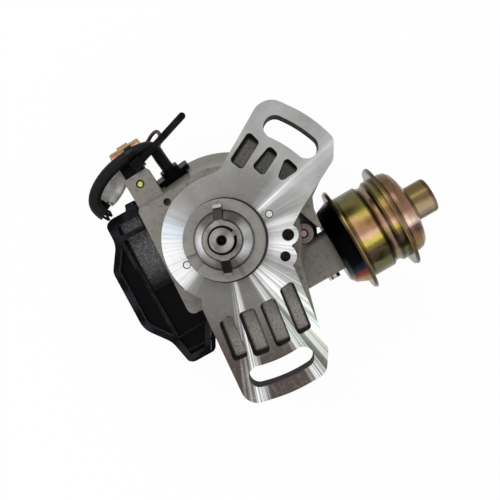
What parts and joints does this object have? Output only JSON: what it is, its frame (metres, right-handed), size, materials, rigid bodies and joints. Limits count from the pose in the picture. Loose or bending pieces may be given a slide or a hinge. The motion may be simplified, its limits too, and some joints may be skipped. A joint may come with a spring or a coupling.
{
  "type": "ignition distributor",
  "caption": "Ignition distributor with an offset-dog drive, slotted hold-down flange, side vacuum advance capsule and a cap that holds its own coil.",
  "frame": {"origin": "on the shaft axis, in the plane of the flange's machined mounting face", "axes": "+Z along the shaft towards its drive end, away from the cap; +X towards the vacuum unit's side, 30 degrees clockwise of that unit's axis; +Y towards the upper ear. It stands on the four plug towers of its cap."},
  "size_m": [0.1741, 0.1396, 0.1485],
  "materials": {
    "cast_aluminium": "sand-cast and die-cast skin, with a turned and a milled mounting face",
    "turned_steel": "turned",
    "dog_steel": "pressed, satin",
    "pin_steel": "plain",
    "plain_steel": "oiled pressed sheet",
    "spring_steel": "drawn wire",
    "screw_steel": "black oxide",
    "bronze": "oil-filled sintered bronze",
    "brass": "plain",
    "yellow_zinc": "zinc plated with an iridescent yellow chromate",
    "cap_plastic": "moulded, satin",
    "rotor_plastic": "moulded phenolic",
    "carbon": "pressed carbon",
    "coil_resin": "cast resin over the winding",
    "coil_tape": "enamelled copper winding",
    "seal_rubber": "moulded rubber",
    "diaphragm_rubber": "fabric-backed rubber",
    "lead_rubber": "extruded rubber sleeve",
    "bracket_black": "black paint on pressed sheet",
    "brown_lead": "plastic insulation",
    "wire_white": "plastic insulation",
    "connector_white": "moulded, slightly yellowed",
    "tie_black": "moulded nylon"
  },
  "bodies": {
    "housing": {"housing": "cast_aluminium", "o_ring": "seal_rubber", "dowel_pins": "pin_steel", "shaft_bush": "bronze", "oil_seal": "seal_rubber", "vent_plug": "seal_rubber", "base_plate": "plain_steel", "base_plate_screws": "pin_steel", "plate_bearing": "bronze", "igniter_module": "cap_plastic", "igniter_screws": "pin_steel", "vacuum_back_shell": "yellow_zinc", "vacuum_can": "yellow_zinc", "vacuum_dome": "yellow_zinc", "vacuum_ports": "yellow_zinc", "diaphragm": "diaphragm_rubber", "vacuum_spring": "spring_steel", "vacuum_screw": "screw_steel", "cap": "cap_plastic", "cap_gasket": "seal_rubber", "cap_screws": "screw_steel", "cap_terminals": "brass", "centre_brush": "carbon", "brush_spring": "spring_steel", "coil_core": "plain_steel", "coil_winding": "coil_resin", "coil_screws": "pin_steel", "condenser_bracket": "bracket_black", "condenser": "yellow_zinc", "lug_screw": "yellow_zinc", "condenser_lead": "brown_lead", "lead_grommet": "lead_rubber", "lead_sleeve": "lead_rubber", "lead_wires": "wire_white", "lead_connector": "connector_white", "wire_seal": "seal_rubber", "cable_tie": "tie_black"},
    "shaft": {"shaft": "turned_steel", "drive_collar": "turned_steel", "drive_dog": "dog_steel", "circlip": "pin_steel", "collar_pin": "pin_steel", "governor_plate": "plain_steel", "governor_spring_a": "spring_steel", "governor_spring_b": "spring_steel", "thrust_washer": "pin_steel", "rotor_screw": "pin_steel"},
    "weight_a": {"flyweight_a": "plain_steel"},
    "weight_b": {"flyweight_b": "plain_steel"},
    "rotor": {"cam_sleeve": "turned_steel", "signal_rotor": "plain_steel", "rotor_arm": "rotor_plastic", "rotor_contact": "brass"},
    "pickup": {"advance_plate": "plain_steel", "pickup_pole": "plain_steel", "pickup_coil": "coil_tape"},
    "vacuum_link": {"vacuum_rod": "plain_steel", "diaphragm_cup": "plain_steel"}
  },
  "joints": [
    {"name": "shaft_spin", "type": "hinge", "parent": "housing", "child": "shaft", "pos_m": [0, 0, 0], "axis": [0, 0, 1], "continuous": true},
    {"name": "cam_advance", "type": "hinge", "parent": "shaft", "child": "rotor", "pos_m": [0, 0, -0.0323], "axis": [0, 0, -1], "range_deg": [0, 10.6], "stiffness_Nm_per_rad": 0.02, "deforming": ["governor_spring_a", "governor_spring_b"]},
    {"name": "weight_a_swing", "type": "hinge", "parent": "shaft", "child": "weight_a", "pos_m": [0.017, 0, -0.028], "axis": [0, 0, -1], "range_deg": [0, 12]},
    {"name": "weight_b_swing", "type": "hinge", "parent": "shaft", "child": "weight_b", "pos_m": [-0.017, 0, -0.028], "axis": [0, 0, -1], "range_deg": [0, 12]},
    {"name": "pickup_advance", "type": "hinge", "parent": "housing", "child": "pickup", "pos_m": [0, 0, -0.041], "axis": [0, 0, 1], "range_deg": [0, 10], "stiffness_Nm_per_rad": 0.02},
    {"name": "vacuum_pull", "type": "slide", "parent": "housing", "child": "vacuum_link", "axis": [0.866, 0.5, 0], "range_m": [0, 0.00531], "deforming": ["vacuum_spring", "diaphragm"]}
  ],
  "couplings": [
    {"joint": "weight_a_swing", "follows": "cam_advance", "ratio": 1.129},
    {"joint": "weight_b_swing", "follows": "cam_advance", "ratio": 1.129},
    {"joint": "vacuum_pull", "follows": "pickup_advance", "m_per_rad": 0.0304}
  ]
}
